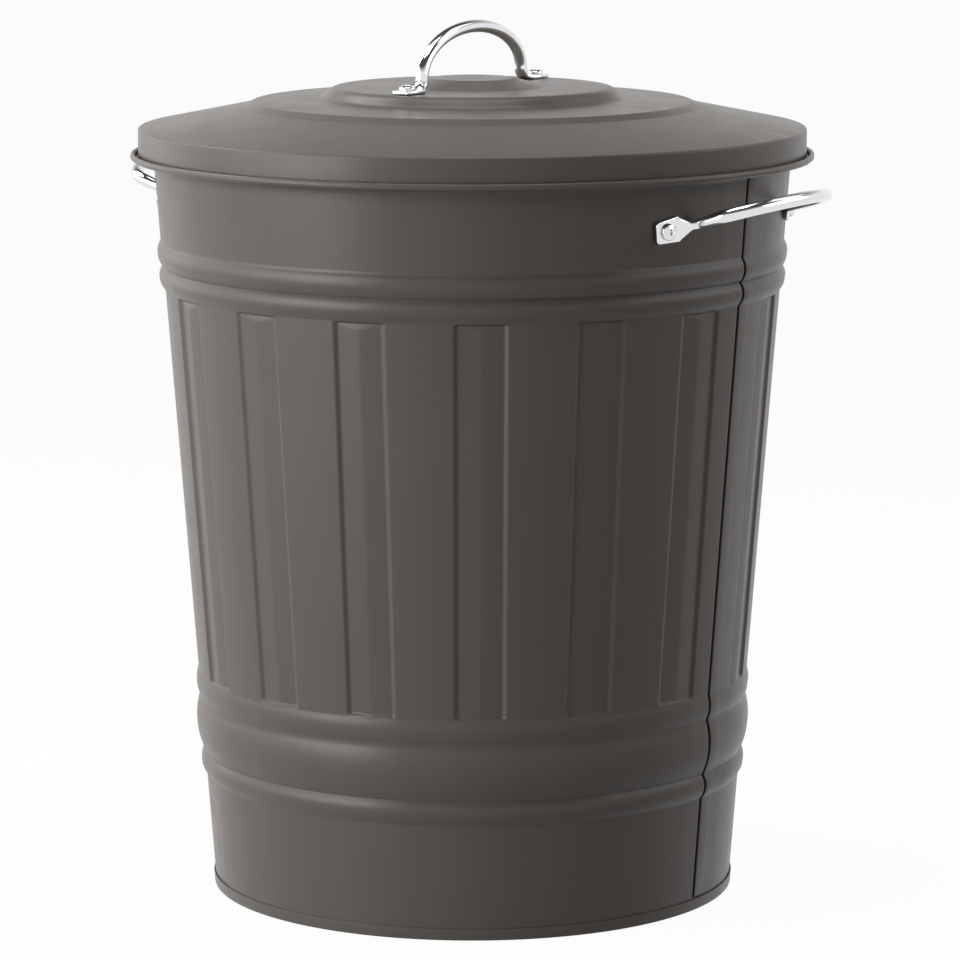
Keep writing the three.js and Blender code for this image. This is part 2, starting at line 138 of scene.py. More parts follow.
class Finish(Graph):
    """A material with one Principled shader, and short ways to add what the finishes here need."""

    noise_low = 0.3  # a noise mostly lies between these two
    noise_high = 0.7

    def __init__(self, name: str) -> None:
        """Starts the material.

        Args:
            name: Its name.
        """
        super().__init__(bpy.data.materials.new(name))
        self.shader = self.nodes["Principled BSDF"].inputs
        self.place = self.nodes.new("ShaderNodeTexCoord").outputs["Object"]

    def noise(self, grain: Grain) -> Socket:
        """The factor of a noise texture on object coordinates.

        Args:
            grain: Its repeats per metre and its octaves of finer noise.

        Returns:
            The factor.
        """
        scale, detail = grain
        return self.add("TexNoise", "Fac", {"Scale": scale, "Detail": detail, "Vector": self.place})

    def set_roughness(self, grain: Grain, low: float, high: float) -> None:
        """Sets a roughness that wanders between two values.

        Args:
            grain: Its noise.
            low: The lowest roughness.
            high: The highest roughness.
        """
        ends = {"From Min": self.noise_low, "From Max": self.noise_high, "To Min": low, "To Max": high}
        rough = self.add("MapRange", "Result", {**ends, "Value": self.noise(grain)})
        self.links.new(rough, self.shader["Roughness"])

    def set_colour(self, grain: Grain, first: Colour, second: Colour) -> None:
        """Sets a base colour that wanders between two colours.

        Args:
            grain: Its noise.
            first: The first colour, linear.
            second: The second colour, linear.
        """
        ends = {"A": (*first, 1.0), "B": (*second, 1.0), "Factor": self.noise(grain)}
        self.links.new(self.add("Mix", "Result", ends, data_type="RGBA"), self.shader["Base Color"])

    def set_bump(self, layers: Sequence[tuple[Grain, float]]) -> None:
        """Chains bumps into the shader's normal.

        Args:
            layers: The noise of each bump with its real height, in metres.
        """
        below = {}
        for grain, height in layers:
            wanted = {"Strength": 1.0, "Distance": height, "Height": self.noise(grain), **below}
            below = {"Normal": self.add("Bump", "Normal", wanted)}
        self.links.new(below["Normal"], self.shader["Normal"])


@dataclass(frozen=True)
class PowderCoat:
    """Satin powder coat on steel: a fine orange peel over a faint unevenness of the sheet."""

    name: str = "grey_powder_coat"
    colour: Colour = (0.118, 0.103, 0.091)
    drift: float = 0.05
    roughness: tuple[float, float] = (0.32, 0.38)
    specular: float = 0.29
    colour_grain: Grain = (14.0, 3.0)
    gloss_grain: Grain = (60.0, 4.0)
    peel_grain: Grain = (750.0, 2.0)
    peel_height: float = 0.00005
    sheet_grain: Grain = (9.0, 1.0)
    sheet_height: float = 0.0003

    def make(self) -> bpy.types.Material:
        """Builds the material."""
        finish = Finish(self.name)
        darker = tuple(c * (1.0 - self.drift) for c in self.colour)
        paler = tuple(c * (1.0 + self.drift) for c in self.colour)
        finish.set_colour(self.colour_grain, darker, paler)
        finish.set_roughness(self.gloss_grain, *self.roughness)
        finish.shader["Specular IOR Level"].default_value = self.specular
        finish.set_bump([(self.sheet_grain, self.sheet_height), (self.peel_grain, self.peel_height)])
        return finish.owner


@dataclass(frozen=True)
class Plating:
    """Plated steel: a mirror-like or a dull metal with faint ripples left by the polishing."""

    name: str
    colour: Colour
    roughness: tuple[float, float]
    drift: float = 0.03
    colour_grain: Grain = (180.0, 3.0)
    gloss_grain: Grain = (400.0, 3.0)
    ripple_grain: Grain = (220.0, 2.0)
    ripple_height: float = 0.00002

    def make(self) -> bpy.types.Material:
        """Builds the material."""
        finish = Finish(self.name)
        darker = tuple(c * (1.0 - self.drift) for c in self.colour)
        finish.set_colour(self.colour_grain, darker, self.colour)
        finish.set_roughness(self.gloss_grain, *self.roughness)
        finish.shader["Metallic"].default_value = 1.0
        finish.set_bump([(self.ripple_grain, self.ripple_height)])
        return finish.owner


@dataclass
class Finishes:
    """One material for each of the record's slots."""

    materials: dict[Slot, bpy.types.Material]

    @classmethod
    def make(cls) -> "Finishes":
        """Builds every finish of the bin."""
        return cls(
            {
                Slot.PAINTED_SHEET: PowderCoat().make(),
                Slot.PLATED_ROD: Plating("bright_plated_rod", (0.76, 0.77, 0.78), (0.07, 0.12)).make(),
                Slot.PLATED_SCREW: Plating("bright_plated_screw", (0.72, 0.73, 0.74), (0.08, 0.15)).make(),
                Slot.ZINC_HARDWARE: Plating("zinc_plating", (0.42, 0.43, 0.45), (0.28, 0.42)).make(),
            }
        )


# ---------------------------------------------------------------- mesh helpers


def rounded_path(corners: Sequence[Corner], steps: int) -> list[Point2]:
    """Rounds the inner corners of an open path.

    Args:
        corners: Its corners.
        steps: Segments of each round.

    Returns:
        The path's points, with an arc at each rounded corner.
    """
    straight = math.radians(89.9)
    longest = 0.49  # share of a side that one corner's round may take
    path = [corners[0][:2]]
    for before, here, after in zip(corners, corners[1:], corners[2:]):
        corner = Vector(here[:2])
        back = Vector(before[:2]) - corner
        forth = Vector(after[:2]) - corner
        half_angle = back.angle(forth) / 2.0
        if here[2] == 0.0 or half_angle > straight:
            path.append(here[:2])
            continue
        reach = min(here[2] / math.tan(half_angle), back.length * longest, forth.length * longest)
        start = corner + back.normalized() * reach
        end = corner + forth.normalized() * reach
        for i in range(steps + 1):
            t = i / steps
            path.append(tuple((1 - t) ** 2 * start + 2 * t * (1 - t) * corner + t**2 * end))
    path.append(corners[-1][:2])
    return path


def ellipse_arc(middle: Point2, half: Point2, start: float, end: float, steps: int) -> list[Point2]:
    """Points on part of an ellipse.

    Args:
        middle: Its middle, as radius and height.
        half: Its half width and half height.
        start: First angle, in degrees from outwards.
        end: Last angle.
        steps: Segments between them.

    Returns:
        The arc's points.
    """
    turns = [math.radians(start + (end - start) * i / steps) for i in range(steps + 1)]
    return [(middle[0] + half[0] * math.cos(t), middle[1] + half[1] * math.sin(t)) for t in turns]


def spun(profile: Sequence[Point2], steps: int, closed: bool = False) -> bmesh.types.BMesh:
    """Spins a profile once round the Z axis.

    Args:
        profile: Radius and height of each point.
        steps: Steps of the full turn.
        closed: Whether the last point joins the first.

    Returns:
        The spun mesh, facing out.
    """
    bm = bmesh.new()
    verts = [bm.verts.new((r, 0.0, z)) for r, z in profile]
    ends = verts[1:] + verts[:1] if closed else verts[1:]
    edges = [bm.edges.new(pair) for pair in zip(verts, ends)]
    bmesh.ops.spin(
        bm, geom=verts + edges, cent=(0, 0, 0), axis=(0, 0, 1), dvec=(0, 0, 0),
        angle=TURN, steps=steps, use_merge=True, use_duplicate=False,
    )
    bmesh.ops.remove_doubles(bm, verts=bm.verts[:], dist=SAME_PLACE)
    bmesh.ops.recalc_face_normals(bm, faces=bm.faces[:])
    return bm


def as_object(bm: bmesh.types.BMesh, name: str) -> bpy.types.Object:
    """Turns a bmesh into a linked object and frees it.

    Args:
        bm: The mesh to use up.
        name: Name of the object and its mesh.

    Returns:
        The new object.
    """
    mesh = bpy.data.meshes.new(name)
    bm.to_mesh(mesh)
    bm.free()
    made = bpy.data.objects.new(name, mesh)
    bpy.context.scene.collection.objects.link(made)
    return made


def carved(bm: bmesh.types.BMesh, cutters: Iterable[bmesh.types.BMesh]) -> bmesh.types.BMesh:
    """Cuts shapes out of a mesh with booleans.

    Args:
        bm: The mesh to cut, which is used up.
        cutters: The shapes to cut away, which are used up too.

    Returns:
        The cut mesh.
    """
    blank = as_object(bm, "blank")
    tools = [as_object(cutter, "cutter") for cutter in cutters]
    for tool in tools:
        cut = blank.modifiers.new("cut", "BOOLEAN")
        cut.operation = "DIFFERENCE"
        cut.solver = "MANIFOLD"
        cut.object = tool
    finished = blank.evaluated_get(bpy.context.evaluated_depsgraph_get()).to_mesh()
    result = bmesh.new()
    result.from_mesh(finished)
    for used in [blank, *tools]:
        bpy.data.objects.remove(used)
    return result


def drill(seat: "Seat", radius: float, length: float) -> bmesh.types.BMesh:
    """A round cutter through a seat.

    Args:
        seat: Where the hole goes.
        radius: The hole's radius.
        length: The cutter's whole length.

    Returns:
        The cutter's mesh.
    """
    bm = bmesh.new()
    bmesh.ops.create_cone(
        bm, cap_ends=True, segments=32, radius1=radius, radius2=radius, depth=length, matrix=seat.matrix
    )
    return bm


@dataclass(frozen=True)
class Section:
    """One cross-section of a handle: a superellipse in the plane of two directions."""

    centre: Vector
    across: Vector
    through: Vector
    half_across: float
    half_through: float
    squareness: float = 2.0

    def point(self, turn: float) -> Vector:
        """The section's point at an angle from the across direction."""
        power = 2.0 / self.squareness
        a = math.copysign(abs(math.cos(turn)) ** power, math.cos(turn)) * self.half_across
        t = math.copysign(abs(math.sin(turn)) ** power, math.sin(turn)) * self.half_through
        return self.centre + self.across * a + self.through * t


def lofted(sections: Sequence[Section], sides: int) -> bmesh.types.BMesh:
    """Extrudes a ring of points through a row of sections and closes both ends.

    Args:
        sections: The sections, from one end to the other.
        sides: Points of each ring.

    Returns:
        The closed skin, facing out.
    """
    bm = bmesh.new()
    turn = bm.verts.layers.float.new("turn")
    ring = bmesh.ops.create_circle(bm, cap_ends=False, radius=1.0, segments=sides)["verts"]
    for vert in ring:
        vert[turn] = math.atan2(vert.co.y, vert.co.x) + math.pi / sides
    edges = bm.edges[:]
    for i, section in enumerate(sections):
        if i > 0:
            grown = bmesh.ops.extrude_edge_only(bm, edges=edges)["geom"]
            ring = [g for g in grown if isinstance(g, bmesh.types.BMVert)]
            fresh = set(ring)
            edges = [g for g in grown if isinstance(g, bmesh.types.BMEdge) and fresh.issuperset(g.verts)]
        for vert in ring:
            vert.co = section.point(vert[turn])
    bmesh.ops.holes_fill(bm, edges=[e for e in bm.edges if e.is_boundary], sides=sides)
    bmesh.ops.recalc_face_normals(bm, faces=bm.faces[:])
    return bm


@dataclass(frozen=True)
class Seat:
    """A place on a sheet where something is screwed on."""

    place: Vector
    normal: Vector
    outwards: Vector

    @property
    def matrix(self) -> Matrix:
        """Moves a shape that stands on the XY plane onto the seat."""
        side = self.normal.cross(self.outwards).normalized()
        turn = Matrix((self.outwards, side, self.normal)).transposed().to_4x4()
        return Matrix.Translation(self.place) @ turn

    def raised(self, height: float) -> Vector:
        """The point at a height over the seat."""
        return self.place + self.normal * height


@dataclass
class Dresser:
    """Turns finished meshes into pieces that stand for CAD nodes."""

    finishes: Finishes
    sharp_angle: float = math.radians(42.0)

    def piece(
        self, bm: bmesh.types.BMesh, node: str, body: Body, slot: Slot, sharp_angle: float | None = None
    ) -> bpy.types.Object:
        """Names, shades and dresses a piece and puts it on its body.

        Args:
            bm: The finished mesh, which is used up.
            node: The CAD node that it stands for.
            body: The body that it rides on.
            slot: The material slot of its finish.
            sharp_angle: Edges bent by more than this stay sharp.

        Returns:
            The piece.
        """
        made = as_object(bm, f"{node}_looks")
        made.data.shade_smooth()
        made.data.set_sharp_from_angle(angle=sharp_angle or self.sharp_angle)
        made.data.materials.append(self.finishes.materials[slot])
        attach(made, body.value)
        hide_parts(node)
        log.info("%s: %d faces on %s", made.name, len(made.data.polygons), body.value)
        return made


# ---------------------------------------------------------------- wall


class Skin(Enum):
    """Which part of the wall's outline a point belongs to."""

    RIM = 0
    OUTSIDE = 1
    INSIDE = 2


@dataclass(frozen=True)
class Bead:
    """A bead rolled outwards round the wall."""

    low: float
    high: float
    height: float
    roundness: float = 2.12

    def bump(self, z: float) -> float:
        """How far the bead stands out at a height."""
        along = 2.0 * (z - self.low) / (self.high - self.low) - 1.0
        return self.height * max(0.0, 1.0 - abs(along) ** self.roundness)

    def rows(self, facets: int) -> list[float]:
        """The heights inside the bead that split it into facets."""
        return [self.low + (self.high - self.low) * i / facets for i in range(1, facets)]


@dataclass(frozen=True)
class Column:
    """An upright line of the wall, placed across the rib or the seam that it belongs to."""

    azimuth: float
    across: float = 0.0
    rise: float = 0.0
    back: float = 0.0
    on_rib: bool = False


@dataclass(frozen=True)
class Ring:
    """One ring of the wall's outline before the ribs and the seam are pressed."""

    radius: float
    z: float
    skin: Skin


@dataclass(frozen=True)
class Spacing:
    """How close the rings of one of the wall's skins are, with distances in millimetres."""

    bead_facets: int
    over_rib_foot: tuple[float, ...]
    under_rib_head: tuple[float, ...]


OUTSIDE_SPACING = Spacing(
    bead_facets=10,
    over_rib_foot=(0.0, 0.3, 0.6, 0.9, 1.2, 1.5, 1.8, 2.2, 2.8, 3.6, 5.0),
    under_rib_head=(6.0, 4.8, 4.2, 3.7, 3.2, 2.6, 2.0, 1.5, 1.2, 0.9, 0.6, 0.3, 0.0),
)
INSIDE_SPACING = Spacing(
    bead_facets=4,
    over_rib_foot=(0.0, 1.1, 2.2, 3.6),
    under_rib_head=(4.8, 3.6, 1.3, 0.0),
)


@dataclass
class Wall:
    """The rolled wall with its beads, ribs, seam and curled rim."""

    foot_radius: float = 0.1553
    taper: float = 0.0765
    sheet: float = 0.0006
    foot_z: float = 0.0009
    top_z: float = 0.4295
    lower_beads: tuple[Bead, ...] = (
        Bead(0.0684, 0.0828, 0.0025),
        Bead(0.0828, 0.1158, 0.00325),
        Bead(0.1158, 0.1308, 0.0014),
    )
    upper_beads: tuple[Bead, ...] = (Bead(0.3611, 0.3746, 0.00255), Bead(0.3746, 0.3892, 0.0025))
    ribs_per_half: int = 8
    rib_pitch: float = math.radians(22.06)
    rib_half_width: float = 0.016
    rib_narrowing: float = 0.044
    rib_wall: float = 0.0031
    rib_depth: float = 0.00155
    rib_top_wall: float = 0.0013
    rib_bottom_wall: float = 0.0022
    ridge_height: float = 0.0009
    ridge_round: float = 0.0004
    hip_length: float = 0.0034
    seam_start: float = 0.0077
    seam_rise: float = 0.0006
    seam_end: float = 0.4358
    ledge_z: float = 0.438
    curl_middle: Point2 = (0.201, 0.4394)
    curl_half: Point2 = (0.0015, 0.00195)
    curl_turn: Point2 = (-118.0, 172.0)  # its first and last angle
    # Heights of the rings where nothing is pressed, and shares of the ribs' length at which they have one.
    low_rows: tuple[float, ...] = (0.03, 0.055, 0.0676)
    rib_shares: tuple[float, ...] = (0.2, 0.4, 0.6, 0.8)
    high_rows: tuple[float, ...] = (0.3902, 0.403, 0.417)
    # Columns of half a rib, by their distance from its middle.
    rib_lines: tuple[float, ...] = (
        0.0005, 0.0018, 0.0065, 0.0114, 0.0123, 0.0130, 0.0136, 0.01435, 0.0151, 0.0157, 0.0164,
    )
    # Columns of the lock seam: millimetres across, out on the outside and in on the inside.
    seam_lines: tuple[tuple[float, float, float], ...] = (
        (-7.6, 0.0, 0.0), (-6.7, 0.0, 0.0), (-6.35, -0.12, 1.2), (-6.1, -1.9, 2.0), (-4.6, -1.9, 2.0),
        (-4.35, 0.18, 2.0), (-4.0, 0.34, 2.0), (-3.2, 0.36, 2.0), (0.0, 0.34, 2.0), (3.4, 0.28, 2.0),
        (5.0, 0.19, 2.0), (6.2, 0.09, 2.0), (7.4, 0.02, 0.6), (8.6, 0.0, 0.0),
    )

    @property
    def rib_foot(self) -> float:
        """Height of the ribs' lower ends."""
        return self.lower_beads[-1].high

    @property
    def rib_head(self) -> float:
        """Height of the ribs' upper ends."""
        return self.upper_beads[0].low

    def radius(self, z: float) -> float:
        """Outer radius of the plain wall at a height."""
        return self.foot_radius + self.taper * z

    def normal(self, azimuth: float) -> Vector:
        """The plain wall's outward normal."""
        lean = math.atan(self.taper)
        flat = math.cos(lean)
        return Vector((math.cos(azimuth) * flat, math.sin(azimuth) * flat, -math.sin(lean)))

    def point(self, azimuth: float, z: float) -> Vector:
        """A point on the plain wall."""
        radius = self.radius(z)
        return Vector((radius * math.cos(azimuth), radius * math.sin(azimuth), z))

    def bump(self, z: float) -> float:
        """How far the beads stand out at a height."""
        return sum(bead.bump(z) for bead in self.lower_beads + self.upper_beads)

    def rib_scale(self, z: float) -> float:
        """Width of a rib at a height as a share of its width at the top."""
        share = (self.rib_head - z) / (self.rib_head - self.rib_foot)
        return 1.0 - self.rib_narrowing * min(1.0, max(0.0, share))

    def heights(self, spacing: Spacing) -> list[float]:
        """Heights of the wall's rings, close together where it bends.

        Args:
            spacing: The rings' spacing in the beads and at the ribs' ends.

        Returns:
            Rising heights from the foot to the start of the flare.
        """
        rows = [self.foot_z, self.seam_start, self.seam_start + self.seam_rise, *self.low_rows]
        for bead in self.lower_beads:
            rows += [bead.low, *bead.rows(spacing.bead_facets)]
        rows += [self.rib_foot + step * MILLIMETRE for step in spacing.over_rib_foot]
        rows += [self.rib_foot + (self.rib_head - self.rib_foot) * share for share in self.rib_shares]
        rows += [self.rib_head - step * MILLIMETRE for step in spacing.under_rib_head]
        for bead in self.upper_beads:
            rows += [*bead.rows(spacing.bead_facets), bead.high]
        return [*rows, *self.high_rows, self.top_z]

    def under_ledge(self) -> list[Point2]:
        """The outside from the plain wall through the flare to the curl."""
        foot = self.radius(self.top_z)
        ledge_underside = self.ledge_z - self.sheet
        corners = [(foot, self.top_z, 0.0), (foot + 0.0005, 0.4369, 0.0048), (0.1975, ledge_underside, 0.0)]
        return rounded_path(corners, steps=7)

    def over_ledge(self) -> list[Point2]:
        """The inside from the curl over the ledge to the plain wall."""
        foot = self.radius(self.top_z)
        corners = [
            (0.19935, self.ledge_z + 0.0003, 0.0),
            (0.1990, self.ledge_z, 0.0006),
            (foot - 0.0001, self.ledge_z - 0.0006, 0.0045),
            (foot - self.sheet, self.top_z, 0.0),
        ]
        return rounded_path(corners, steps=6)

    def outline(self) -> list[Ring]:
        """The wall's closed outline: up the outside, round the rim and down the inside."""
        outer = self.heights(OUTSIDE_SPACING)
        inner = reversed(self.heights(INSIDE_SPACING))
        curl = ellipse_arc(self.curl_middle, self.curl_half, *self.curl_turn, 18)
        return [
            *(Ring(self.radius(z) + self.bump(z), z, Skin.OUTSIDE) for z in outer),
            *(Ring(r, z, Skin.OUTSIDE if z < self.seam_end else Skin.RIM) for r, z in self.under_ledge()[1:]),
            *(Ring(r, z, Skin.RIM) for r, z in curl),
            *(Ring(r, z, Skin.INSIDE if z < self.seam_end else Skin.RIM) for r, z in self.over_ledge()[:-1]),
            *(Ring(self.radius(z) + self.bump(z) - self.sheet, z, Skin.INSIDE) for z in inner),
        ]

    def rib_columns(self, azimuth: float) -> list[Column]:
        """The columns of one rib, close together on its side walls."""
        offsets = [-x for x in reversed(self.rib_lines)] + [0.0, *self.rib_lines]
        return [Column(azimuth, across, on_rib=True) for across in offsets]

    def seam_columns(self) -> list[Column]:
        """The columns of the lock seam: a deep groove, then a strip that stands a little proud."""
        return [
            Column(0.0, across * MILLIMETRE, rise=rise * MILLIMETRE, back=back * MILLIMETRE)
            for across, rise, back in self.seam_lines
        ]

    def columns(self) -> list[Column]:
        """Every upright line once round the wall, in order, from the seam."""
        columns = self.seam_columns()
        for middle in (TURN / 4, TURN * 3 / 4):
            for i in range(self.ribs_per_half):
                azimuth = middle + (i - (self.ribs_per_half - 1) / 2) * self.rib_pitch
                if i > 0:
                    columns.append(Column(azimuth - self.rib_pitch / 2))
                columns += self.rib_columns(azimuth)
            if middle < TURN / 2:
                columns.append(Column(TURN / 2))
        return columns

    def pressed(self, across: float, z: float) -> float:
        """How deep a rib is pressed at a place in it.

        Args:
            across: Distance from the rib's middle, as at its top.
            z: Height.

        Returns:
            The depth inwards from the plain wall.
        """
        to_side = (self.rib_half_width - abs(across)) / self.rib_wall
        to_top = (self.rib_head - z) / self.rib_top_wall
        to_foot = (z - self.rib_foot) / self.rib_bottom_wall
        if min(to_side, to_top, to_foot) <= 0.0:
            return 0.0
        missing = math.hypot(max(0.0, 1.0 - to_side), max(0.0, 1.0 - min(to_top, to_foot)))
        inside = min(1.0, max(0.0, 1.0 - missing))
        depth = self.rib_depth * inside**2 * (3.0 - 2.0 * inside)
        floor_half = self.rib_half_width - self.rib_wall
        ridge = self.ridge_height * max(0.0, 1.0 - math.hypot(across, self.ridge_round) / floor_half)
        hip = self.ridge_height * max(0.0, (self.rib_head - z - self.rib_top_wall) / self.hip_length)
        return depth - min(ridge, hip) * inside

    def mesh(self) -> bmesh.types.BMesh:
        """Spins the outline, spaces its columns and presses the ribs and the seam into it.

        Returns:
            The closed sheet.
        """
        columns = self.columns()
        bm = bmesh.new()
        skin = bm.verts.layers.int.new("skin")
        verts = []
        for ring in self.outline():
            vert = bm.verts.new((ring.radius, 0.0, ring.z))
            vert[skin] = ring.skin.value
            verts.append(vert)
        edges = [bm.edges.new(pair) for pair in zip(verts, verts[1:] + verts[:1])]
        bmesh.ops.spin(
            bm, geom=verts + edges, cent=(0, 0, 0), axis=(0, 0, 1), dvec=(0, 0, 0),
            angle=TURN, steps=len(columns), use_merge=True, use_duplicate=False,
        )
        for vert in bm.verts:
            share = math.atan2(vert.co.y, vert.co.x) / TURN % 1.0
            column = columns[round(share * len(columns)) % len(columns)]
            vert.co = self.placed(vert.co, column, Skin(vert[skin]))
        bmesh.ops.recalc_face_normals(bm, faces=bm.faces[:])
        return bm

    def placed(self, spot: Vector, column: Column, skin: Skin) -> Vector:
        """Where a vertex of the spun outline goes.

        Args:
            spot: Its place after the spin.
            column: The column that it belongs to.
            skin: The part of the outline that it belongs to.

        Returns:
            Its place in the pressed wall.
        """
        radius = math.hypot(spot.x, spot.y)
        seamed = spot.z > self.seam_start + self.seam_rise / 2.0
        across = column.across
        if column.on_rib:
            across *= self.rib_scale(spot.z)
            if skin is not Skin.RIM:
                radius -= self.pressed(column.across, spot.z)
        elif skin is Skin.OUTSIDE and seamed:
            radius += column.rise
        elif skin is Skin.INSIDE and seamed:
            radius -= column.back
        azimuth = column.azimuth + across / radius
        return Vector((radius * math.cos(azimuth), radius * math.sin(azimuth), spot.z))


# ---------------------------------------------------------------- base


@dataclass
class Base:
    """The pan whose edge turns down inside the wall, under its foot and up outside it."""

    wall: Wall
    gap: float = 0.0003
    top_z: float = 0.0074
    hoop_top_z: float = 0.0068
    steps: int = 256

    def mesh(self) -> bmesh.types.BMesh:
        """Spins the pan's section.

        Returns:
            The closed pan.
        """
        sheet = self.wall.sheet
        inside = self.wall.radius(self.wall.foot_z) - sheet - self.gap
        hoop = self.wall.radius(self.wall.foot_z) + self.gap
        hoop_top = self.wall.radius(self.hoop_top_z) + self.gap
        outline = rounded_path(
            [
                (0.0, self.top_z, 0.0),
                (inside, self.top_z, 0.0012),
                (inside, sheet, 0.0001),
                (hoop, sheet, 0.0001),
                (hoop_top, self.hoop_top_z, 0.0002),
                (hoop_top + sheet, self.hoop_top_z, 0.0005),
                (hoop + sheet, 0.0, 0.0006),
                (inside - sheet, 0.0, 0.0006),
                (inside - sheet, self.top_z - sheet, 0.0010),
                (0.0, self.top_z - sheet, 0.0),
            ],
            steps=4,
        )
        return spun(outline, self.steps)


# ---------------------------------------------------------------- lid


@dataclass
class Lid:
    """The pressed lid with its boss, plateau, stepped ring, cone and hemmed skirt."""

    sheet: float = 0.0006
    foot_z: float = 0.4383
    skirt_radius: float = 0.1978
    hem_height: float = 0.005
    hem_round: float = 0.0005
    hem_gap: float = 0.0002
    shoulder_round: float = 0.0010
    underside_shift: float = 0.3  # shares of the sheet by which the underside's corners are drawn in
    plateau_z: float = 0.4795
    steps: int = 320
    # The upper surface, from the middle to the skirt.
    corners: tuple[Corner, ...] = (
        (0.0, 0.4845, 0.0),
        (0.0242, 0.4845, 0.004),
        (0.0438, 0.4795, 0.010),
        (0.0835, 0.4795, 0.009),
        (0.0890, 0.4730, 0.006),
        (0.1298, 0.4711, 0.004),
        (0.1361, 0.4681, 0.004),
        (0.1978, 0.4556, 0.0016),
    )

    def mesh(self) -> bmesh.types.BMesh:
        """Spins the lid's section: the upper surface, the skirt, the hem and the underside.

        Returns:
            The closed lid.
        """
        skirt = self.skirt_radius
        hem_top = self.foot_z + self.hem_height
        outline = [
            *self.corners,
            (skirt, self.foot_z, self.hem_round),
            (skirt - 2.0 * self.sheet, self.foot_z, self.hem_round),
            (skirt - 2.0 * self.sheet, hem_top, self.hem_gap),
            (skirt - self.sheet, hem_top + self.hem_gap, 0.0),
        ]
        shift = self.underside_shift * self.sheet
        inner = [(max(0.0, r - shift), z - self.sheet, rounding) for r, z, rounding in self.corners[:-1]]
        shoulder = (skirt - self.sheet, self.corners[-1][1] - self.sheet, self.shoulder_round)
        return spun(rounded_path([*outline, shoulder, *reversed(inner)], steps=6), self.steps)


# ---------------------------------------------------------------- handles


@dataclass(frozen=True)
class Station:
    """A place on a handle's centre line with the size of the section there."""

    centre: Vector
    half_across: float
    half_through: float
    squareness: float
    share: float


